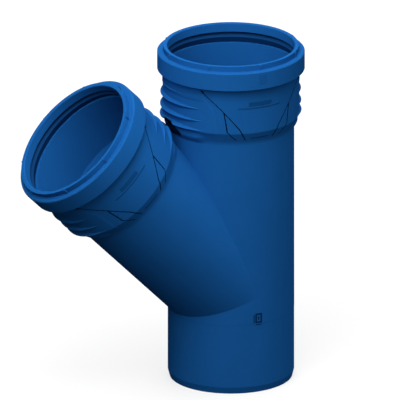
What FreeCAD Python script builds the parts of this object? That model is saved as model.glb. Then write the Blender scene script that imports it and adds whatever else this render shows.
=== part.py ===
import FreeCAD, Part
import os

import Sketcher

# Lateral wye pipe fitting: a straight run with a spigot below and a socket above, and a
# branch of the same pipe that leaves it at an angle and ends in a second, equal socket.
# Each socket holds a rubber sealing ring in the groove behind its lip.
#
# The frame: the origin is the centre of the spigot's end face, +Z runs up the run's axis,
# and the branch lies in the XZ plane, leaning towards -X. The fitting's face is at -Y.
# A "depth" is measured along a socket's axis, down from the plane of its mouth.

# Driving dimensions, in millimetres and degrees
SIZES = {
    # The pipe and the lie of its two axes
    "pipe_diameter": 110.0,
    "pipe_wall": 3.4,
    "crossing_height": 87.9,
    "arm_length": 215.5,
    "branch_angle": 45.0,
    # The spigot: its chamfered end, and the slight swell where its true diameter stops
    "chamfer_length": 6.0,
    "chamfer_depth": 1.55,
    "spigot_length": 62.0,
    "swell_length": 1.5,
    "swell_rise": 0.1,
    # The inside of a socket
    "socket_clearance": 0.6,
    "socket_depth": 63.5,
    "stop_length": 8.0,
    "mouth_bevel": 0.6,
    "groove_depth": 7.7,
    "groove_width": 10.1,
    "groove_reach": 5.9,
    # The lip and the collar that stiffens the groove
    "lip_wall": 3.4,
    "lip_height": 4.7,
    "collar_rise": 5.15,
    "collar_bevel": 0.9,
    # The collar's sharp lower edge, and the hollow slope under it down to the panel
    "collar_depth": 19.9,
    "collar_step": 2.6,
    "cove_end": 28.6,
    # The shoulder that carries the collar down to the ribs, on both sides of a socket
    "shoulder_shift": 8.0,
    "shoulder_top": 19.0,
    "shoulder_fall": 0.1,
    "shoulder_depth": 24.9,
    "shoulder_end": 30.0,
    # The socket's wall below the collar, its lower band and the cone down to the pipe
    "socket_wall": 3.55,
    "panel_lift": 0.8,
    "panel_step": 1.1,
    "band_drop": 5.8,
    "cone_length": 4.7,
    # The grip ribs on both sides of a socket, from the top rib down. They are turned about
    # an axis that lies aside and back from the socket's own.
    "grip_shift": 9.7,
    "grip_setback": 1.2,
    "grip_sink": 1.5,
    "grip_top": 26.0,
    "first_rib_depth": 31.0,
    "first_rib_rise": 1.95,
    "first_valley_depth": 36.2,
    "second_rib_depth": 41.2,
    "second_rib_rise": 3.1,
    "second_valley_depth": 46.7,
    "third_rib_depth": 52.2,
    "third_rib_rise": 3.35,
    "third_valley_depth": 56.7,
    "fourth_rib_depth": 61.1,
    "fourth_rib_rise": 3.6,
    "grip_foot": 5.3,
    # The angle marks round the lip
    "mark_count": 8,
    "mark_width": 1.8,
    "mark_rise": 1.0,
    "mark_root": 0.8,
    "mark_drop": 0.5,
    # The fine lines drawn in the socket's front
    "line_width": 1.1,
    "line_depth": 0.7,
    "line_top": 23.5,
    "line_top_reach": 47.6,
    "fork_depth": 42.6,
    "fork_reach": 31.2,
    "inner_knee_lift": 5.0,
    "inner_knee_reach": 18.8,
    "inner_end_drop": 5.4,
    "inner_end_reach": 13.2,
    "outer_knee_lift": 3.0,
    "outer_knee_reach": 28.7,
    "outer_end_drop": 5.4,
    "outer_end_reach": 21.2,
    # The sealing ring in its groove
    "seal_gap": 0.15,
    "seal_land": 0.15,
    "seal_tip": 4.6,
    "seal_foot": 3.6,
}

RIBS = ("first", "second", "third", "fourth")

# Radii and levels that follow from the driving dimensions, as expressions
PIPE = "(Sizes.pipe_diameter / 2)"
BODY = f"({PIPE} + Sizes.swell_rise)"
BORE = f"({PIPE} - Sizes.pipe_wall)"
SOCKET = f"({PIPE} + Sizes.socket_clearance)"
LIP = f"({SOCKET} + Sizes.lip_wall)"
PANEL = f"({SOCKET} + Sizes.socket_wall)"
BAND = f"({PANEL} - Sizes.panel_step)"
COLLAR = f"({PANEL} + Sizes.collar_rise)"
GROOVE = f"({SOCKET} + Sizes.groove_reach)"
GROOVE_END = "(Sizes.groove_depth + Sizes.groove_width)"
PANEL_END = "(Sizes.socket_depth - Sizes.panel_lift)"
BAND_END = "(Sizes.socket_depth + Sizes.band_drop)"
CONE_END = f"({BAND_END} + Sizes.cone_length)"

# The two arms: a name, and the angle of the axis from +Z towards -X
ARMS = {"run": "0", "branch": "Sizes.branch_angle"}

# The two sides of an arm: a name, and the sign of the way to it
SIDES = {"left": "-", "right": ""}

document = FreeCAD.newDocument("LateralWye")


def make_sheet():
    """Writes the driving dimensions into the document, one named cell each."""
    sheet = document.addObject("Spreadsheet::Sheet", "Sizes")
    for row, (name, value) in enumerate(SIZES.items(), start=1):
        sheet.set(f"A{row}", name)
        sheet.set(f"B{row}", str(value))
        sheet.setAlias(f"B{row}", name)
    document.recompute()
    return sheet


sheet = make_sheet()


def value_of(expression):
    """The present value of an expression on the sheet's names."""
    return float(sheet.evalExpression(expression))


def at_depth(depth):
    """How far along its arm, from the crossing of the axes, a depth below the mouth lies."""
    return f"Sizes.arm_length - ({depth})"


def pin_point(sketch, geometry, end, x, y):
    """Holds a point of a sketch at x and y, which are expressions."""
    if x == "0":
        sketch.addConstraint(Sketcher.Constraint("PointOnObject", geometry, end, -2))
    else:
        held = Sketcher.Constraint("DistanceX", -1, 1, geometry, end, value_of(x))
        sketch.setExpression(f"Constraints[{sketch.addConstraint(held)}]", x)
    if y == "0":
        sketch.addConstraint(Sketcher.Constraint("PointOnObject", geometry, end, -1))
    else:
        held = Sketcher.Constraint("DistanceY", -1, 1, geometry, end, value_of(y))
        sketch.setExpression(f"Constraints[{sketch.addConstraint(held)}]", y)


def draw_outline(sketch, corners):
    """Draws a closed outline through its corners, anticlockwise, each tied to the sheet."""
    places = [FreeCAD.Vector(value_of(x), value_of(y), 0) for x, y in corners]
    following = places[1:] + places[:1]
    edges = [sketch.addGeometry(Part.LineSegment(a, b), False) for a, b in zip(places, following)]
    for edge, after, (x, y) in zip(edges, edges[1:] + edges[:1], corners):
        sketch.addConstraint(Sketcher.Constraint("Coincident", edge, 2, after, 1))
        pin_point(sketch, edge, 1, x, y)


def plane_of(body, role):
    """One of a body's own origin planes."""
    return next(plane for plane in body.Origin.OriginFeatures if plane.Role == role)


def bind_offset(sketch, place, axis, angle):
    """Ties a sketch's offset from its plane to the sheet: a place, and a turn about an axis."""
    if angle != "0":
        turn = FreeCAD.Rotation(axis, value_of(angle))
        sketch.AttachmentOffset = FreeCAD.Placement(FreeCAD.Vector(), turn)
        sketch.setExpression("AttachmentOffset.Rotation.Angle", angle)
    for coordinate, expression in zip("xyz", place):
        sketch.setExpression(f"AttachmentOffset.Base.{coordinate}", expression)


def section_sketch(body, name, arm, shift="0", setback="0"):
    """A sketch in the plane of both axes, with its upright along an arm.

    It starts at the crossing of the axes, or aside and back from it.
    """
    sketch = body.newObject("Sketcher::SketchObject", name)
    sketch.AttachmentSupport = (plane_of(body, "XZ_Plane"), [""])
    sketch.MapMode = "FlatFace"
    angle = ARMS[arm]
    along = f"({shift}) * cos({angle})"
    up = f"Sizes.crossing_height + ({shift}) * sin({angle})"
    bind_offset(sketch, (along, up, f"-({setback})"), FreeCAD.Vector(0, 0, 1), angle)
    return sketch


def cross_sketch(body, name, arm, depth):
    """A sketch square to an arm's axis, at a depth below its mouth."""
    sketch = body.newObject("Sketcher::SketchObject", name)
    sketch.AttachmentSupport = (plane_of(body, "XY_Plane"), [""])
    sketch.MapMode = "FlatFace"
    angle = ARMS[arm]
    along = f"({at_depth(depth)})"
    across = f"-{along} * sin({angle})"
    up = f"Sizes.crossing_height + {along} * cos({angle})"
    bind_offset(sketch, (across, "0", up), FreeCAD.Vector(0, -1, 0), angle)
    return sketch


def check_volume(feature, grows):
    """Stops the build if a feature added or removed nothing."""
    document.recompute()
    before = feature.BaseFeature.Shape.Volume if feature.BaseFeature else 0.0
    change = feature.Shape.Volume - before
    if (change > 0) != grows:
        raise ValueError(f"{feature.Name} changed the volume by {change:.1f}")


def turn_solid(body, name, sketch):
    """Adds the solid that an outline sweeps about its sketch's upright."""
    feature = body.newObject("PartDesign::Revolution", name)
    feature.Profile = sketch
    feature.ReferenceAxis = (sketch, ["V_Axis"])
    feature.Angle = 360
    check_volume(feature, True)


def turn_hollow(body, name, sketch):
    """Cuts the hollow that an outline sweeps about its sketch's upright."""
    feature = body.newObject("PartDesign::Groove", name)
    feature.Profile = sketch
    feature.ReferenceAxis = (sketch, ["V_Axis"])
    feature.Angle = 360
    check_volume(feature, False)


def outside_corners(inset="0"):
    """The outside of an arm, from the crossing of the axes to the lip, less an inset."""
    bevel = "Sizes.collar_bevel"
    corners = [
        ("0", "0"),
        (BODY, "0"),
        (BODY, at_depth(CONE_END)),
        (BAND, at_depth(BAND_END)),
        (BAND, at_depth(f"{PANEL_END} + Sizes.panel_step")),
        (PANEL, at_depth(PANEL_END)),
        (PANEL, at_depth("Sizes.cove_end")),
        (f"{COLLAR} - Sizes.collar_step", at_depth("Sizes.collar_depth")),
        (COLLAR, at_depth("Sizes.collar_depth")),
        (COLLAR, at_depth(f"Sizes.lip_height + {bevel}")),
        (f"{COLLAR} - {bevel}", at_depth("Sizes.lip_height")),
        (LIP, at_depth("Sizes.lip_height")),
        (LIP, at_depth("0")),
        ("0", at_depth("0")),
    ]
    if inset == "0":
        return corners
    return [(x if x == "0" else f"{x} - {inset}", y) for x, y in corners]


def add_spigot(body):
    """The plain pipe below the crossing, chamfered at its end."""
    sketch = body.newObject("Sketcher::SketchObject", "spigot_outline")
    sketch.AttachmentSupport = (plane_of(body, "XZ_Plane"), [""])
    sketch.MapMode = "FlatFace"
    corners = [
        ("0", "0"),
        (f"{PIPE} - Sizes.chamfer_depth", "0"),
        (PIPE, "Sizes.chamfer_length"),
        (PIPE, "Sizes.spigot_length"),
        (BODY, "Sizes.spigot_length + Sizes.swell_length"),
        (BODY, "Sizes.crossing_height"),
        ("0", "Sizes.crossing_height"),
    ]
    draw_outline(sketch, corners)
    turn_solid(body, "spigot", sketch)


def add_arm(body, arm):
    """An arm of pipe with the outside of its socket."""
    sketch = section_sketch(body, f"{arm}_outline", arm)
    draw_outline(sketch, outside_corners())
    turn_solid(body, f"{arm}_arm", sketch)


def grip_corners():
    """The outline of a grip: sharp ribs, with valleys sunk below the panel's surface."""
    sunk = f"{PANEL} - Sizes.grip_sink - Sizes.grip_shift"
    foot = at_depth("Sizes.fourth_rib_depth + Sizes.grip_foot")
    corners = [("0", foot), (sunk, foot)]
    for rib, above in zip(reversed(RIBS), (*reversed(RIBS[:-1]), None)):
        crest = f"{PANEL} + Sizes.{rib}_rib_rise - Sizes.grip_shift"
        corners.append((crest, at_depth(f"Sizes.{rib}_rib_depth")))
        if above:
            corners.append((sunk, at_depth(f"Sizes.{above}_valley_depth")))
    top = at_depth("Sizes.grip_top")
    return corners + [(sunk, top), ("0", top)]


def add_grip(body, arm, side, sign):
    """Ribs on one side of a socket: proud at the side, they run out to its front and back."""
    shift = f"{sign}Sizes.grip_shift"
    sketch = section_sketch(body, f"{arm}_{side}_ribs_outline", arm, shift, "Sizes.grip_setback")
    draw_outline(sketch, grip_corners())
    turn_solid(body, f"{arm}_{side}_ribs", sketch)


def add_shoulder(body, arm, side, sign):
    """A soft shoulder under the collar, over the ribs on one side of a socket."""
    shift = f"{sign}Sizes.shoulder_shift"
    sketch = section_sketch(body, f"{arm}_{side}_shoulder_outline", arm, shift)
    crest = f"{COLLAR} - Sizes.shoulder_fall - Sizes.shoulder_shift"
    top = at_depth("Sizes.shoulder_top")
    foot = at_depth("Sizes.shoulder_end")
    brow = (crest, at_depth("Sizes.shoulder_depth"))
    corners = [("0", foot), (f"{PANEL} - Sizes.shoulder_shift", foot), brow, (crest, top), ("0", top)]
    draw_outline(sketch, corners)
    turn_solid(body, f"{arm}_{side}_shoulder", sketch)


def add_marks(body, arm):
    """Short upright marks, evenly round the lip, that show how far the fitting is turned."""
    sketch = cross_sketch(body, f"{arm}_mark_outline", arm, "Sizes.lip_height")
    inner = f"{LIP} - Sizes.mark_root"
    outer = f"{LIP} + Sizes.mark_rise"
    half = "Sizes.mark_width / 2"
    draw_outline(sketch, [(inner, f"-{half}"), (outer, f"-{half}"), (outer, half), (inner, half)])
    mark = body.newObject("PartDesign::Pad", f"{arm}_mark")
    mark.Profile = sketch
    mark.setExpression("Length", "Sizes.lip_height - Sizes.mark_drop")
    check_volume(mark, True)
    marks = body.newObject("PartDesign::PolarPattern", f"{arm}_marks")
    marks.Originals = [mark]
    marks.Axis = (sketch, ["N_Axis"])
    marks.Angle = 360
    marks.setExpression("Occurrences", "Sizes.mark_count")
    body.Tip = marks
    check_volume(marks, True)


def cut_arm(body, arm):
    """The bore of an arm, with the inside of its socket."""
    sketch = section_sketch(body, f"{arm}_bore_outline", arm)
    mouth = "Sizes.mouth_bevel"
    corners = [
        ("0", "0"),
        (BORE, "0"),
        (BORE, at_depth("Sizes.socket_depth + Sizes.stop_length")),
        (SOCKET, at_depth("Sizes.socket_depth")),
        (SOCKET, at_depth(GROOVE_END)),
        (GROOVE, at_depth(GROOVE_END)),
        (GROOVE, at_depth("Sizes.groove_depth")),
        (SOCKET, at_depth("Sizes.groove_depth")),
        (SOCKET, at_depth(mouth)),
        (f"{SOCKET} + {mouth}", at_depth("0")),
        ("0", at_depth("0")),
    ]
    draw_outline(sketch, corners)
    turn_hollow(body, f"{arm}_bore", sketch)


def cut_spigot(body):
    """The bore below the crossing."""
    sketch = body.newObject("Sketcher::SketchObject", "spigot_bore_outline")
    sketch.AttachmentSupport = (plane_of(body, "XZ_Plane"), [""])
    sketch.MapMode = "FlatFace"
    top = "Sizes.crossing_height"
    draw_outline(sketch, [("0", "0"), (BORE, "0"), (BORE, top), ("0", top)])
    turn_hollow(body, "spigot_bore", sketch)


def make_moulding():
    """The whole moulding but for the lines drawn in its sockets."""
    body = document.addObject("PartDesign::Body", "moulding")
    add_spigot(body)
    for arm in ARMS:
        add_arm(body, arm)
    for arm in ARMS:
        for side, sign in SIDES.items():
            add_shoulder(body, arm, side, sign)
            add_grip(body, arm, side, sign)
        add_marks(body, arm)
    cut_spigot(body)
    for arm in ARMS:
        cut_arm(body, arm)
    return body


def place_on_arm(thing, arm):
    """Stands a thing that was made upright on an arm, from the crossing of the axes."""
    angle = ARMS[arm]
    if angle != "0":
        turn = FreeCAD.Rotation(FreeCAD.Vector(0, -1, 0), value_of(angle))
        thing.Placement = FreeCAD.Placement(FreeCAD.Vector(), turn)
        thing.setExpression("Placement.Rotation.Angle", angle)
    thing.setExpression("Placement.Base.z", "Sizes.crossing_height")


def upright_sketch(name):
    """A free sketch that stands in the XZ plane."""
    sketch = document.addObject("Sketcher::SketchObject", name)
    sketch.Placement = FreeCAD.Placement(FreeCAD.Vector(), FreeCAD.Rotation(FreeCAD.Vector(1, 0, 0), 90))
    return sketch


def draw_stroke(sketch, points, sign):
    """A line's two edges and two ends, half its width to each side of its points."""
    half = "Sizes.line_width / 2"
    left = [(f"{sign}({x} - {half})", at_depth(y)) for x, y in points]
    right = [(f"{sign}({x} + {half})", at_depth(y)) for x, y in points]
    draw_outline(sketch, left + right[::-1])


def make_lines(arm):
    """The tool that cuts one socket's lines: strokes that stand out past a core.

    Seen from the front, a long line falls from the collar towards the middle, and a short
    one forks off it and follows it down. They are the same at the left and the right.
    """
    fork = ("Sizes.fork_reach", "Sizes.fork_depth")
    long_line = [
        ("Sizes.line_top_reach", "Sizes.line_top"),
        fork,
        ("Sizes.inner_knee_reach", "Sizes.socket_depth - Sizes.inner_knee_lift"),
        ("Sizes.inner_end_reach", "Sizes.socket_depth + Sizes.inner_end_drop"),
    ]
    short_line = [
        fork,
        ("Sizes.outer_knee_reach", "Sizes.socket_depth - Sizes.outer_knee_lift"),
        ("Sizes.outer_end_reach", "Sizes.socket_depth + Sizes.outer_end_drop"),
    ]
    strokes = []
    for name, points in (("long", long_line), ("short", short_line)):
        for side, sign in SIDES.items():
            sketch = upright_sketch(f"{arm}_{side}_{name}_line")
            draw_stroke(sketch, points, sign)
            stroke = document.addObject("Part::Extrusion", f"{arm}_{side}_{name}_stroke")
            stroke.Base = sketch
            stroke.DirMode = "Normal"
            stroke.Solid = True
            stroke.setExpression("LengthFwd", f"2 * {COLLAR}")
            strokes.append(stroke)
    together = document.addObject("Part::MultiFuse", f"{arm}_strokes")
    together.Shapes = strokes

    outline = upright_sketch(f"{arm}_core_outline")
    draw_outline(outline, outside_corners("Sizes.line_depth"))
    core = document.addObject("Part::Revolution", f"{arm}_core")
    core.Source = outline
    core.Axis = FreeCAD.Vector(0, 0, 1)
    core.Angle = 360
    core.Solid = True

    lines = document.addObject("Part::Cut", f"{arm}_lines")
    lines.Base = together
    lines.Tool = core
    place_on_arm(lines, arm)
    return lines


def make_body():
    """The one-piece moulded fitting."""
    moulding = make_moulding()
    tools = document.addObject("Part::MultiFuse", "socket_lines")
    tools.Shapes = [make_lines(arm) for arm in ARMS]
    fitting = document.addObject("Part::Cut", "wye_body")
    fitting.Label = "wye_body"
    fitting.Base = moulding
    fitting.Tool = tools
    return fitting


def make_seal(arm):
    """A rubber ring: its back fills the groove's floor, and its lip points inwards.

    The lip is shown laid back, as a pipe holds it.
    """
    body = document.addObject("PartDesign::Body", f"{arm}_socket_seal")
    body.Label = f"{arm}_socket_seal"
    sketch = body.newObject("Sketcher::SketchObject", f"{arm}_seal_outline")
    sketch.AttachmentSupport = (plane_of(body, "XZ_Plane"), [""])
    sketch.MapMode = "FlatFace"
    outer = f"{GROOVE} - Sizes.seal_gap"
    inner = f"{SOCKET} - Sizes.seal_land"
    top = "Sizes.groove_depth + Sizes.seal_gap"
    bottom = f"{GROOVE_END} - Sizes.seal_gap"
    corners = [
        (f"{outer} - Sizes.seal_foot", at_depth(bottom)),
        (outer, at_depth(bottom)),
        (outer, at_depth(top)),
        (inner, at_depth(f"{top} + Sizes.seal_tip")),
    ]
    draw_outline(sketch, corners)
    turn_solid(body, f"{arm}_seal_ring", sketch)
    place_on_arm(body, arm)
    return body


def check_document(pieces):
    """Stops the build if any object failed or a piece's shape isn't sound."""
    document.recompute()
    for thing in document.Objects:
        if "Invalid" in thing.State or "Error" in thing.State:
            raise ValueError(f"{thing.Name} failed: {thing.State}")
    for piece in pieces:
        shape = piece.Shape
        if shape.isNull() or not shape.isValid() or len(shape.Solids) != 1:
            raise ValueError(f"{piece.Label} is not one sound solid")
        centre = shape.Solids[0].CenterOfMass
        print(piece.Label, f"{shape.Volume:.0f} mm3, centred at {centre.x:.1f}, {centre.y:.1f}, {centre.z:.1f}")


pieces = [make_body()] + [make_seal(arm) for arm in ARMS]
check_document(pieces)
os.makedirs("parts", exist_ok=True)
for piece in pieces:
    piece.Shape.exportStep(f"parts/{piece.Label}.step")
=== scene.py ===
import math

import bmesh
import bpy
from mathutils import Matrix, Vector


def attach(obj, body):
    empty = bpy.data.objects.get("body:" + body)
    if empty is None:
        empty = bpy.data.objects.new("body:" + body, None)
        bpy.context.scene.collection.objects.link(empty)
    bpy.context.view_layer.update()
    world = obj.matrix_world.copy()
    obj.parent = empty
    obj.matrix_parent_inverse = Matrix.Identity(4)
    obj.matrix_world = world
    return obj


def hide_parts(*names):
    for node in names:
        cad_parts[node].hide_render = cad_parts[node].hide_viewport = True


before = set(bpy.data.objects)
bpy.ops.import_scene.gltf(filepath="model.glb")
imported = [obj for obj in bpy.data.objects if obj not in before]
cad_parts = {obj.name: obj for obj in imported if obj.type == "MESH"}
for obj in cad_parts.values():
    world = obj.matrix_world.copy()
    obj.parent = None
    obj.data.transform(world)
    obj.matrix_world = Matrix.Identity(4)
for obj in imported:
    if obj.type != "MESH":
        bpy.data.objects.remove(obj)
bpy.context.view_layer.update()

# The camera: its direction in degrees, the height of the picture in metres, and the point
# of the object's frame, along the picture's right and up, that lies in the picture's middle
VIEW_AZIMUTH = -26.0
VIEW_ELEVATION = 19.4
PICTURE_HEIGHT = 0.3481
MIDDLE_RIGHT = -0.02693
MIDDLE_UP = 0.1508
CAMERA_DISTANCE = 2.0
CAMERA_REACH = 20

# Square soft lamps that face one point of the object: azimuth and elevation in degrees,
# distance and size in metres, and power
LAMP_TARGET = (-0.05, 0, 0.15)
LAMPS = {
    "key": (-50, 48, 1.1, 0.7, 7.0),
    "top": (-35, 72, 0.8, 0.5, 3.2),
    "back": (150, 32, 1.4, 1.2, 14.0),
}

# The world's light by direction: its middle level, and what it gains upwards, to the left
# and to the front
WORLD_LEVEL = 0.21
WORLD_UP = 0.46
WORLD_LEFT = -0.24
WORLD_FRONT = 0.40
WHITE = (1, 1, 1, 1)

# The floor: its size in metres, what it sends back to the object, and how it looks: a pale
# shade that takes the shadow, and the share of plain white over it
FLOOR_SIZE = 12.0
FLOOR_BOUNCE = (0.06, 0.06, 0.06, 1)
FLOOR_SHADE = (0.9, 0.9, 0.9, 1)
FLOOR_PLAIN = 0.7

# The plastic's colours: the moulding, the walls of its drawn lines, and the raised details
PLASTIC_SHADE = (0.0085, 0.094, 0.318)
# The walls of the drawn lines are painted nearly black: painted shade in these narrow recesses.
GROOVE_PAINTED_SHADE = (0.0006, 0.010, 0.036)
PATCH_SHADE = (0.0074, 0.082, 0.278)
# The bars are painted darker than the plastic: painted shade, for the shade in fine raised
# lettering.
BARS_PAINTED_SHADE = (0.0054, 0.060, 0.205)
# The mould mark is painted dark: painted shade, for the shade inside a stamped mark.
MARK_PAINTED_SHADE = (0.0015, 0.026, 0.09)
PLASTIC_ROUGHNESS = 0.5

# The plastic has no specular level: even a small one shows the white background as a pale rim
PLASTIC_SPECULAR = 0.0

RUBBER_SHADE = (0.0030, 0.036, 0.128)
RUBBER_SPECULAR = 0.02
RUBBER_ROUGHNESS = 0.6

# The slow cloudiness of colour and gloss, and the fine grain
CLOUD_SCALE = 38.0
CLOUD_DETAIL = 3.0
CLOUD_TINTS = (0.93, 1.07)
CLOUD_RANGE = (0.3, 0.7)
CLOUD_GLOSS = 0.05
GRAIN_SCALE = 1400.0
GRAIN_DETAIL = 2.0
GRAIN_STRENGTH = 0.12
GRAIN_HEIGHT = 0.00012

# The fitting, in millimetres. A depth is measured along an arm, down from its mouth, and an
# angle is taken round the arm, from its front.
MM = 0.001
CROSSING_HEIGHT = 87.9
ARM_LENGTH = 215.5
ARMS = {"run": 0.0, "branch": 45.0}
PIPE_RADIUS = 55.1
COLLAR_RADIUS = 64.3
CONE_END = 74.0

# The collar's lower edge is at COLLAR_END in the solid, and moves down to LEDGE
COLLAR_END = 19.9
LEDGE = 20.65

# The outside of a socket below its collar, as rows of depth and radius: as the solid has it,
# and the outlines that it gets in front and behind, and at its sides
SOLID_OUTLINE = [
    (19.9, 61.7), (28.6, 59.15), (62.7, 59.15), (63.8, 58.05), (69.3, 58.05), (74.0, 55.1),
]
FRONT_OUTLINE = [
    (19.9, 61.7), (21.6, 60.95), (23.5, 60.3), (25.5, 59.75), (28.0, 59.35), (31.5, 59.15),
    (62.6, 59.15), (62.75, 58.98), (69.7, 56.09), (70.7, 55.71), (71.7, 55.43), (72.7, 55.23),
    (73.7, 55.12), (74.0, 55.1),
]
SIDE_OUTLINE = [
    (19.9, 62.0), (21.6, 61.15), (25.0, 60.45), (29.0, 59.7), (32.0, 59.45), (34.0, 59.15),
    (62.7, 59.15), (63.8, 58.05), (69.3, 58.05), (74.0, 55.1),
]

# The side's outline holds within SIDE_REACH degrees of a side, where it fades in over
# SIDE_FADE degrees. Between these depths both outlines are the same.
SIDE_REACH = 43
SIDE_FADE = 12
SAME_OUTLINES = (34.0, 62.0)

# By depth, how far to both sides an outline is averaged, which rounds its corners
ROUNDING = [
    (19.9, 0.0), (22.0, 1.0), (32.0, 1.2), (62.0, 0.3), (64.0, 0.4), (69.3, 1.2), (74.0, 0.0),
]
ROUNDING_STEPS = 6

# The grips: the depths between which they lie, where their axis lies beside the socket's own,
# and the outline about that axis, with a rib's crest and the valley below it in turn
GRIP_DEPTHS = (24.0, 68.0)
GRIP_SHIFT = 9.7
GRIP_SETBACK = 0.6
CRESTS = [(31.0, 50.9), (41.2, 52.55), (52.2, 52.8), (61.1, 53.05)]
VALLEYS = [(37.4, 49.15), (48.2, 49.25), (57.6, 50.35), (67.2, 47.4)]

# How sharp the crests are, how steeply the outline falls away above the first one, and how
# wide the hollow is where a grip meets the wall
CREST_POWER = 1.8
FIRST_SLOPE = 0.9
GRIP_BLEND = 0.35

# The soft edge that arches down beside the grips: its rows of depth and degrees from the
# front, its rise, and its width in degrees
ARCH = [
    (26.0, 53.5), (27.9, 51.9), (35.3, 46.1), (39.8, 42.1), (45.2, 40.7), (54.1, 39.3),
    (62.7, 38.6),
]
ARCH_RISE = 0.32
ARCH_WIDTH = 2.6

# Where the arched edge fades out, at its top, its foot and its back, and over how much
ARCH_TOP = 26.0
ARCH_TOP_FADE = 6
ARCH_FOOT = 66.0
ARCH_FOOT_FADE = 4
ARCH_BACK = 150
ARCH_BACK_FADE = 20

# What belongs to a socket's outer wall: its depths, how far down it is moved, and its radii
# between the bore and the collar. The bore is narrower under the cone.
NEAR = 0.05
WALL_TOP = COLLAR_END + NEAR
WALL_FOOT = CONE_END + 0.3
MOVED_FOOT = 73.9
WALL_OUTSIDE = 66
WALL_INSIDE = 56.2
CONE_START = 69.0
CONE_INSIDE = 54.2

# The radii of the collar's lower face
COLLAR_FACE = (61.0, 66.0)

# A face is on the skin, and not in a drawn line, if it faces outwards by this much and lies
# no deeper than this
SKIN_FACING = 0.3
SKIN_DEPTH = 0.35

# The cuts across a socket's wall, by depth, which are wider apart at its foot. The cuts down
# it run along the arched edges, at degrees from the front, through the faces whose middles
# lie within a reach in radians.
FIRST_CUT = 21.3
CUT_STEP = 0.75
FOOT_CUTS = 68
FOOT_CUT_STEP = 0.95
EDGE_CUTS = (*range(-56, -34, 2), *range(36, 58, 2))
EDGE_CUT_REACH = 0.2

# Metres: points this near are one, and points this near a cut are on it
MERGE_DISTANCE = 2e-6
CUT_DISTANCE = 1e-7

# The steps of angle and depth over which the outside's slope is taken for its normals, and
# how far towards the middle of its face a corner's normal is read
NORMAL_TURN = 0.004
NORMAL_DROP = 0.04
NORMAL_INSET = 0.15

# Plain raised plates on the fronts: width, height, corner, rise, and place about their middle
PATCH_DEPTH = 12.2
PATCH = (7.6, 9.0, 0.8, 0.03)
BARS_DEPTH = 36.0
BAR = (22.0, 4.0, 0.8, 0.22, (0, 0.6))
RULE = (41.0, 1.4, 0.4, 0.18, (0, -3.2))
STEP_BAR_DEPTH = 67.2
STEP_BAR = (17.0, 1.7, 0.5, 0.15)
MARK_DEPTH = 235.0
MARK_RISE = 0.12
MARK = [
    (6.4, 1.5, 0.4, MARK_RISE, (0, 3.7)),
    (6.4, 1.5, 0.4, MARK_RISE, (0, -3.7)),
    (1.5, 8.6, 0.4, MARK_RISE, (-2.45, 0)),
    (1.5, 8.6, 0.4, MARK_RISE, (2.45, 0)),
    (5.8, 0.7, 0.3, MARK_RISE, (0, -5.9)),
    (0.9, 8.0, 0.3, MARK_RISE, (-4.4, -0.5)),
    (1.4, 3.2, 0.5, MARK_RISE, (0, 0)),
]

# How deep a plate's foot stands in the wall, the width of its sloped edge, the share of its
# rise at which the edge starts, and how finely its length and its corners are divided
FOOT = 0.4
SLOPE = 0.22
EDGE_SHARE = 0.4
PLATE_STEP = 1.2
CORNER_TURNS = (0, 25, 45, 65, 90)


def table(rows, x):
    """The value of a polyline of (x, y) rows at x."""
    if x <= rows[0][0]:
        return rows[0][1]
    for (x0, y0), (x1, y1) in zip(rows, rows[1:]):
        if x <= x1:
            return y0 + (y1 - y0) * (x - x0) / (x1 - x0)
    return rows[-1][1]


def ease(t):
    """Zero to one, with level ends."""
    t = min(max(t, 0.0), 1.0)
    return t * t * (3 - 2 * t)


def socket_radius(outline, depth):
    """The plain outside of a socket, with its corners rounded."""
    reach = table(ROUNDING, depth)
    total = 0.0
    for step in range(ROUNDING_STEPS + 1):
        total += table(outline, depth + reach * (2 * step / ROUNDING_STEPS - 1))
    return total / (ROUNDING_STEPS + 1)


def grip_outline(depth):
    """The radius of a grip about its own axis: sharp crests with hollow valleys between."""
    if depth < CRESTS[0][0]:
        return CRESTS[0][1] - (CRESTS[0][0] - depth) * FIRST_SLOPE
    for place, (crest, valley) in enumerate(zip(CRESTS, VALLEYS)):
        if depth <= valley[0]:
            t = (valley[0] - depth) / (valley[0] - crest[0])
            return valley[1] + (crest[1] - valley[1]) * t ** CREST_POWER
        if place + 1 < len(CRESTS) and depth <= CRESTS[place + 1][0]:
            crest = CRESTS[place + 1]
            t = (depth - valley[0]) / (crest[0] - valley[0])
            return valley[1] + (crest[1] - valley[1]) * t ** CREST_POWER
    return VALLEYS[-1][1]


def turned_radius(angle, shift, setback, outline_radius):
    """How far out, from a socket's axis, a ring lies that is turned about an axis aside."""
    along = abs(math.sin(angle)) * shift - math.cos(angle) * setback
    return along + math.sqrt(outline_radius ** 2 - shift ** 2 - setback ** 2 + along ** 2)


def soft_max(a, b, blend):
    """The larger of two radii, with a small hollow where they meet."""
    gap = max(blend - abs(a - b), 0.0) / blend
    return max(a, b) + gap * gap * blend / 4


def arch_step(from_front, depth):
    """How far the arched edge raises the wall, at degrees from the front."""
    fade = ease((depth - ARCH_TOP) / ARCH_TOP_FADE)
    fade *= ease((ARCH_FOOT - depth) / ARCH_FOOT_FADE)
    fade *= ease((ARCH_BACK - from_front) / ARCH_BACK_FADE)
    over = from_front - table(ARCH, depth)
    return ARCH_RISE * fade * ease(over / ARCH_WIDTH + 0.5)


def outside_radius(angle, depth):
    """The radius of a socket's outside at an angle from its front, towards its right."""
    from_front = math.degrees(math.acos(math.cos(angle)))
    from_side = abs(from_front - 90)
    radius = socket_radius(FRONT_OUTLINE, depth)
    if from_side < SIDE_REACH and not SAME_OUTLINES[0] < depth < SAME_OUTLINES[1]:
        side = socket_radius(SIDE_OUTLINE, depth)
        radius += (side - radius) * ease((SIDE_REACH - from_side) / SIDE_FADE)
    if GRIP_DEPTHS[0] < depth < GRIP_DEPTHS[1]:
        radius += arch_step(from_front, depth)
        grip = turned_radius(angle, GRIP_SHIFT, GRIP_SETBACK, grip_outline(depth))
        radius = soft_max(radius, grip, GRIP_BLEND)
    return radius


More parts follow.
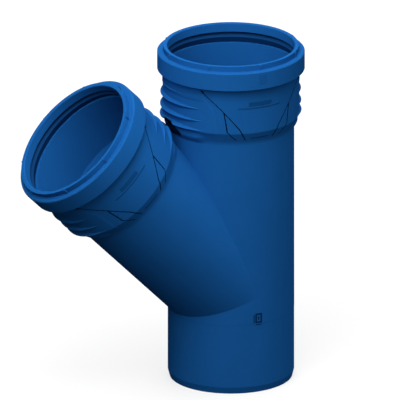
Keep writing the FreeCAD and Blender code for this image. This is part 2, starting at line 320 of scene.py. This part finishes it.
def outside_normal(angle, depth):
    """The direction that a socket's outside faces, in the arm's own frame."""
    radius = outside_radius(angle, depth)
    after = outside_radius(angle + NORMAL_TURN, depth)
    before = outside_radius(angle - NORMAL_TURN, depth)
    around = (after - before) / (2 * NORMAL_TURN)
    above = outside_radius(angle, depth - NORMAL_DROP)
    below = outside_radius(angle, depth + NORMAL_DROP)
    along = (above - below) / (2 * NORMAL_DROP)
    outward = Vector((math.sin(angle), -math.cos(angle), 0))
    sideways = Vector((math.cos(angle), math.sin(angle), 0))
    return (outward - sideways * around / radius - Vector((0, 0, along))).normalized()


def arm_matrix(arm):
    """Takes an arm's own metres, with its mouth at the top and its front at -Y, to the frame."""
    turn = Matrix.Rotation(math.radians(-ARMS[arm]), 4, "Y")
    return Matrix.Translation((0, 0, CROSSING_HEIGHT * MM)) @ turn


def polar(point):
    """The radius, the angle from the front and the depth of a point of an arm."""
    depth = ARM_LENGTH - point.z / MM
    return math.hypot(point.x, point.y) / MM, math.atan2(point.x, -point.y), depth


def arm_point(radius, angle, depth):
    """The point of an arm, in its own metres, at a radius, an angle and a depth."""
    reach = radius * MM
    return Vector((math.sin(angle) * reach, -math.cos(angle) * reach, (ARM_LENGTH - depth) * MM))


def on_outside(radius, depth):
    """Whether a place is in a socket's outer wall, below its collar."""
    if depth < WALL_TOP or depth > WALL_FOOT or radius > WALL_OUTSIDE:
        return False
    return radius > (WALL_INSIDE if depth < CONE_START else CONE_INSIDE)


def slice_faces(mesh, faces, place, normal):
    """Cuts faces of a mesh by a plane, and gives all their pieces."""
    parts = set(faces)
    for face in faces:
        parts.update(face.edges)
        parts.update(face.verts)
    cut = bmesh.ops.bisect_plane(
        mesh, geom=list(parts), plane_co=place, plane_no=normal, dist=CUT_DISTANCE)
    return [part for part in cut["geom"] if isinstance(part, bmesh.types.BMFace)]


def refine_outside(mesh, arm):
    """Cuts a socket's outer wall finely enough to carry its rounded form."""
    matrix = arm_matrix(arm)
    inverse = matrix.inverted()
    axis = matrix.to_3x3() @ Vector((0, 0, 1))
    faces = []
    for face in mesh.faces:
        radius, _, depth = polar(inverse @ face.calc_center_median())
        if on_outside(radius, depth):
            faces.append(face)
    depth = FIRST_CUT
    while depth < CONE_END:
        faces = slice_faces(mesh, faces, matrix @ arm_point(0, 0, depth), axis)
        depth += CUT_STEP if depth < FOOT_CUTS else FOOT_CUT_STEP
    for degrees in EDGE_CUTS:
        turn = math.radians(degrees)
        sideways = matrix.to_3x3() @ Vector((math.cos(turn), math.sin(turn), 0))
        near = []
        for face in faces:
            _, angle, _ = polar(inverse @ face.calc_center_median())
            if abs(angle - turn) < EDGE_CUT_REACH:
                near.append(face)
        kept = set(faces) - set(near)
        faces = list(kept) + slice_faces(mesh, near, matrix.translation, sideways)
    return faces


def split_skin(faces, arm):
    """Parts a wall's faces into its skin and the walls of its drawn lines."""
    matrix = arm_matrix(arm)
    inverse = matrix.inverted()
    upright = matrix.to_3x3().inverted()
    skin = []
    lines = []
    for face in faces:
        centre = inverse @ face.calc_center_median()
        radius, _, depth = polar(centre)
        outward = Vector((centre.x, centre.y, 0)).normalized()
        faces_out = (upright @ face.normal).dot(outward) > SKIN_FACING
        if faces_out and radius > table(SOLID_OUTLINE, depth) - SKIN_DEPTH:
            skin.append(face)
        else:
            lines.append(face)
    return skin, lines


def move_wall(faces, skin, arm):
    """Moves a socket's wall to its rounded form. Its drawn lines stay as deep as they are."""
    matrix = arm_matrix(arm)
    inverse = matrix.inverted()
    on_skin = {corner for face in skin for corner in face.verts}
    for corner in {corner for face in faces for corner in face.verts}:
        radius, angle, depth = polar(inverse @ corner.co)
        if WALL_TOP < depth < MOVED_FOOT:
            sunk = 0.0 if corner in on_skin else table(SOLID_OUTLINE, depth) - radius
            corner.co = matrix @ arm_point(outside_radius(angle, depth) - sunk, angle, depth)


def lower_collar(mesh, arm):
    """Moves the lower face of a socket's collar down, and fits it to the wall below."""
    matrix = arm_matrix(arm)
    inverse = matrix.inverted()
    for corner in mesh.verts:
        radius, angle, depth = polar(inverse @ corner.co)
        if abs(depth - COLLAR_END) < NEAR and COLLAR_FACE[0] < radius < COLLAR_FACE[1]:
            if radius < COLLAR_RADIUS - NEAR:
                radius = outside_radius(angle, LEDGE)
            corner.co = matrix @ arm_point(radius, angle, LEDGE)


def shape_outside(mesh, arm, kept_normals, line_faces):
    """Moves a socket's outer wall to its rounded form, and gives its corners their normals."""
    matrix = arm_matrix(arm)
    inverse = matrix.inverted()
    turn = matrix.to_3x3()
    faces = refine_outside(mesh, arm)
    skin, lines = split_skin(faces, arm)
    line_faces.update(lines)
    move_wall(faces, skin, arm)
    lower_collar(mesh, arm)
    for face in skin:
        centre = face.calc_center_median()
        for loop in face.loops:
            _, angle, depth = polar(inverse @ loop.vert.co.lerp(centre, NORMAL_INSET))
            loop[kept_normals] = turn @ outside_normal(angle, depth)


def body_copy(materials):
    """The moulding with its outer walls rounded, on the solid's own mesh."""
    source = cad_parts["wye_body"]
    data = source.data.copy()
    data.name = "wye_moulding"
    data.materials.clear()
    for material in materials:
        data.materials.append(material)
    normals = data.attributes.new("kept_normal", "FLOAT_VECTOR", "CORNER")
    flat = [0.0] * (3 * len(data.loops))
    data.corner_normals.foreach_get("vector", flat)
    normals.data.foreach_set("vector", flat)
    mesh = bmesh.new()
    mesh.from_mesh(data)
    bmesh.ops.remove_doubles(mesh, verts=mesh.verts, dist=MERGE_DISTANCE)
    layer = mesh.loops.layers.float_vector["kept_normal"]
    line_faces = set()
    for arm in ARMS:
        shape_outside(mesh, arm, layer, line_faces)
    for face in mesh.faces:
        face.smooth = True
        # The walls of the drawn lines take the second material, whose near-black colour is
        # painted shade.
        face.material_index = 1 if face in line_faces else 0
    mesh.to_mesh(data)
    mesh.free()
    kept = [0.0] * (3 * len(data.loops))
    data.attributes["kept_normal"].data.foreach_get("vector", kept)
    data.attributes.remove(data.attributes["kept_normal"])
    rows = [Vector(kept[k:k + 3]).normalized() for k in range(0, len(kept), 3)]
    data.normals_split_custom_set(rows)
    moulding = bpy.data.objects.new("wye_moulding", data)
    bpy.context.scene.collection.objects.link(moulding)
    return moulding


def plate_rows(width, height, corner, rise):
    """Cross sections of a low plate with rounded corners and sloped edges, laid out flat."""
    half = width / 2
    slope = min(SLOPE, height / 4)
    stations = [half - corner * (1 - math.cos(math.radians(turn))) for turn in CORNER_TURNS]
    middle = half - corner
    parts = max(1, math.ceil(2 * middle / PLATE_STEP))
    places = [middle * (2 * part / parts - 1) for part in range(1, parts)]
    rows = []
    for x in sorted({*places, *stations, *(-station for station in stations)}):
        inset = max(abs(x) - middle, 0.0)
        edge = height / 2 - corner + math.sqrt(max(corner ** 2 - inset ** 2, 0.0))
        top = rise * (EDGE_SHARE if abs(x) == half else 1.0)
        brim = EDGE_SHARE * top
        rows.append([(x, -edge, -FOOT), (x, -edge, brim), (x, slope - edge, top),
                     (x, edge - slope, top), (x, edge, brim), (x, edge, -FOOT)])
    return rows


def add_plate(mesh, lay, width, height, corner, rise, place=(0, 0)):
    """A closed plate, put on the surface by lay, which takes (sideways, upwards, height)."""
    rows = []
    for row in plate_rows(width, height, corner, rise):
        rows.append([mesh.verts.new(lay(x + place[0], y + place[1], z)) for x, y, z in row])
    for near, far in zip(rows, rows[1:]):
        for k in range(len(near)):
            after = (k + 1) % len(near)
            mesh.faces.new((near[k], far[k], far[after], near[after]))
    mesh.faces.new(rows[0])
    mesh.faces.new(rows[-1][::-1])


def wall_layout(arm, depth, wall_radius):
    """Lays flat millimetres on the front of an arm's wall, about a point at a depth."""
    matrix = arm_matrix(arm)

    def lay(sideways, upwards, height):
        angle = sideways / wall_radius(0.0, depth)
        lower = depth - upwards
        return matrix @ arm_point(wall_radius(angle, lower) + height, angle, lower)

    return lay


def add_detail(name, material, parts):
    """A piece of raised plates. Each part is a layout and the sizes of its plate."""
    mesh = bmesh.new()
    for part in parts:
        add_plate(mesh, *part)
    bmesh.ops.recalc_face_normals(mesh, faces=mesh.faces)
    data = bpy.data.meshes.new(name)
    mesh.to_mesh(data)
    mesh.free()
    data.materials.append(material)
    piece = bpy.data.objects.new(name, data)
    bpy.context.scene.collection.objects.link(piece)
    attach(piece, "root")


def add_details(patch_material, bars_painted_shade, mark_painted_shade):
    """The plain patch on the run's collar, the plain bars on both panels, the mould mark."""
    collar = wall_layout("run", PATCH_DEPTH, lambda angle, depth: COLLAR_RADIUS)
    add_detail("collar_patch", patch_material, [(collar, *PATCH)])
    for arm in ARMS:
        panel = wall_layout(arm, BARS_DEPTH, outside_radius)
        step = wall_layout(arm, STEP_BAR_DEPTH, outside_radius)
        plates = [(panel, *BAR), (panel, *RULE), (step, *STEP_BAR)]
        # The bars' darker colour is painted shade.
        add_detail(f"{arm}_panel_bars", bars_painted_shade, plates)
    pipe = wall_layout("run", MARK_DEPTH, lambda angle, depth: PIPE_RADIUS)
    # The mould mark's dark colour is painted shade.
    add_detail("mould_mark", mark_painted_shade, [(pipe, *stroke) for stroke in MARK])


def view_axes(azimuth, elevation):
    """The picture's right and up, and the way back to the camera. Azimuth 0 looks along +Y."""
    a = math.radians(azimuth)
    e = math.radians(elevation)
    right = Vector((math.cos(a), math.sin(a), 0))
    up = Vector((-math.sin(a) * math.sin(e), math.cos(a) * math.sin(e), math.cos(e)))
    return right, up, right.cross(up)


def add_camera():
    """A parallel camera at the photograph's angle."""
    right, up, back = view_axes(VIEW_AZIMUTH, VIEW_ELEVATION)
    data = bpy.data.cameras.new("camera")
    data.type = "ORTHO"
    data.ortho_scale = PICTURE_HEIGHT
    data.clip_end = CAMERA_REACH
    camera = bpy.data.objects.new("camera", data)
    camera.location = right * MIDDLE_RIGHT + up * MIDDLE_UP + back * CAMERA_DISTANCE
    camera.rotation_euler = back.to_track_quat("Z", "Y").to_euler()
    bpy.context.scene.collection.objects.link(camera)
    bpy.context.scene.camera = camera


def add_lamp(name, azimuth, elevation, distance, size, power):
    """A square soft lamp that faces the middle of the object."""
    a = math.radians(azimuth)
    e = math.radians(elevation)
    away = Vector((math.sin(a) * math.cos(e), -math.cos(a) * math.cos(e), math.sin(e)))
    data = bpy.data.lights.new(name, "AREA")
    data.size = size
    data.energy = power
    lamp = bpy.data.objects.new(name, data)
    lamp.location = Vector(LAMP_TARGET) + away * distance
    lamp.rotation_euler = away.to_track_quat("Z", "Y").to_euler()
    bpy.context.scene.collection.objects.link(lamp)


class Nodes:
    """Short forms for building a node tree."""

    def __init__(self, owner):
        owner.use_nodes = True
        self.tree = owner.node_tree

    def add(self, kind, inputs=None, **settings):
        """A new node, with its settings, and values for inputs by their name or place."""
        node = self.tree.nodes.new(kind)
        for name, value in settings.items():
            setattr(node, name, value)
        for key, value in (inputs or {}).items():
            node.inputs[key].default_value = value
        return node

    def link(self, a, b):
        """Leads an output to an input."""
        self.tree.links.new(a, b)


def background_sees(nodes):
    """One for a ray that shows the background, and zero for one that only lights."""
    path = nodes.add("ShaderNodeLightPath")
    first = nodes.add("ShaderNodeMath", operation="MAXIMUM")
    either = nodes.add("ShaderNodeMath", operation="MAXIMUM")
    nodes.link(path.outputs["Is Camera Ray"], first.inputs[0])
    nodes.link(path.outputs["Is Glossy Ray"], first.inputs[1])
    nodes.link(first.outputs[0], either.inputs[0])
    nodes.link(path.outputs["Is Transmission Ray"], either.inputs[1])
    return either.outputs[0]


def show_or_light(nodes, light, seen, out):
    """Leads one shader out for rays that show the background, and another for the rest."""
    mix = nodes.add("ShaderNodeMixShader")
    nodes.link(background_sees(nodes), mix.inputs[0])
    nodes.link(light.outputs[0], mix.inputs[1])
    nodes.link(seen.outputs[0], mix.inputs[2])
    nodes.link(mix.outputs[0], out.inputs["Surface"])


def add_world():
    """White to look at, with soft light that is strong from above and weak from below."""
    world = bpy.data.worlds.new("studio")
    nodes = Nodes(world)
    nodes.tree.nodes.clear()
    out = nodes.add("ShaderNodeOutputWorld")
    place = nodes.add("ShaderNodeTexCoord")
    gain = (-WORLD_LEFT, -WORLD_FRONT, WORLD_UP)
    slope = nodes.add("ShaderNodeVectorMath", {1: gain}, operation="DOT_PRODUCT")
    level = nodes.add("ShaderNodeMath", {1: WORLD_LEVEL}, operation="ADD")
    lit = nodes.add("ShaderNodeMath", {1: 0.0}, operation="MAXIMUM")
    light = nodes.add("ShaderNodeBackground", {"Color": WHITE})
    seen = nodes.add("ShaderNodeBackground", {"Color": WHITE, "Strength": 1.0})
    nodes.link(place.outputs["Generated"], slope.inputs[0])
    nodes.link(slope.outputs["Value"], level.inputs[0])
    nodes.link(level.outputs[0], lit.inputs[0])
    nodes.link(lit.outputs[0], light.inputs["Strength"])
    show_or_light(nodes, light, seen, out)
    bpy.context.scene.world = world


def floor_material():
    """A pale floor that takes the object's shadow, and sends little light back up."""
    material = bpy.data.materials.new("floor")
    nodes = Nodes(material)
    nodes.tree.nodes.clear()
    out = nodes.add("ShaderNodeOutputMaterial")
    dull = nodes.add("ShaderNodeBsdfDiffuse", {"Color": FLOOR_BOUNCE})
    pale = nodes.add("ShaderNodeBsdfDiffuse", {"Color": FLOOR_SHADE})
    plain = nodes.add("ShaderNodeEmission", {"Color": WHITE})
    seen = nodes.add("ShaderNodeMixShader", {0: FLOOR_PLAIN})
    nodes.link(pale.outputs[0], seen.inputs[1])
    nodes.link(plain.outputs[0], seen.inputs[2])
    show_or_light(nodes, dull, seen, out)
    return material


def add_floor():
    """A plain floor under the object, which isn't part of it."""
    bpy.ops.mesh.primitive_plane_add(size=FLOOR_SIZE)
    floor = bpy.context.object
    floor.name = "floor"
    floor.data.materials.append(floor_material())


def moulded_material(name, shade, specular=PLASTIC_SPECULAR, roughness=PLASTIC_ROUGHNESS):
    """Plastic or rubber: a fine grain, and a slow cloudiness in its colour and gloss."""
    material = bpy.data.materials.new(name)
    nodes = Nodes(material)
    shader = nodes.tree.nodes["Principled BSDF"]
    shader.inputs["Specular IOR Level"].default_value = specular
    place = nodes.add("ShaderNodeTexCoord")
    cloud = nodes.add("ShaderNodeTexNoise", {"Scale": CLOUD_SCALE, "Detail": CLOUD_DETAIL})
    nodes.link(place.outputs["Object"], cloud.inputs["Vector"])
    dark, light = ((*(tint * value for value in shade), 1) for tint in CLOUD_TINTS)
    tint = nodes.add("ShaderNodeMix", {"A": dark, "B": light}, data_type="RGBA")
    nodes.link(cloud.outputs["Fac"], tint.inputs["Factor"])
    nodes.link(tint.outputs["Result"], shader.inputs["Base Color"])
    gloss = nodes.add("ShaderNodeMapRange", {
        "From Min": CLOUD_RANGE[0], "From Max": CLOUD_RANGE[1],
        "To Min": roughness - CLOUD_GLOSS, "To Max": roughness + CLOUD_GLOSS,
    })
    nodes.link(cloud.outputs["Fac"], gloss.inputs["Value"])
    nodes.link(gloss.outputs["Result"], shader.inputs["Roughness"])
    grain = nodes.add("ShaderNodeTexNoise", {"Scale": GRAIN_SCALE, "Detail": GRAIN_DETAIL})
    nodes.link(place.outputs["Object"], grain.inputs["Vector"])
    bump = nodes.add("ShaderNodeBump", {"Strength": GRAIN_STRENGTH, "Distance": GRAIN_HEIGHT})
    nodes.link(grain.outputs["Fac"], bump.inputs["Height"])
    nodes.link(bump.outputs["Normal"], shader.inputs["Normal"])
    return material


def dress(node, material):
    """Gives a solid of the frame its material."""
    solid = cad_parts[node]
    if not solid.material_slots:
        solid.data.materials.append(material)
    for place in solid.material_slots:
        place.link = "OBJECT"
        place.material = material


bpy.context.scene.view_settings.view_transform = "Standard"
add_camera()
add_world()
for lamp_name, placing in LAMPS.items():
    add_lamp(lamp_name, *placing)
add_floor()
plastic = moulded_material("blue_plastic", PLASTIC_SHADE)
# Painted shade for the walls of the drawn lines.
groove_painted_shade = moulded_material("blue_plastic_groove", GROOVE_PAINTED_SHADE)
patch = moulded_material("blue_plastic_patch", PATCH_SHADE)
# Painted shade for the bars on the panels.
bars = moulded_material("blue_plastic_bars_painted_shade", BARS_PAINTED_SHADE)
# Painted shade for the mould mark.
mark = moulded_material("blue_plastic_mark_painted_shade", MARK_PAINTED_SHADE)
rubber = moulded_material("seal_rubber", RUBBER_SHADE, RUBBER_SPECULAR, RUBBER_ROUGHNESS)
dress("run_socket_seal", rubber)
dress("branch_socket_seal", rubber)

moulding = body_copy((plastic, groove_painted_shade))
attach(moulding, "root")
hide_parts("wye_body")
add_details(patch, bars, mark)
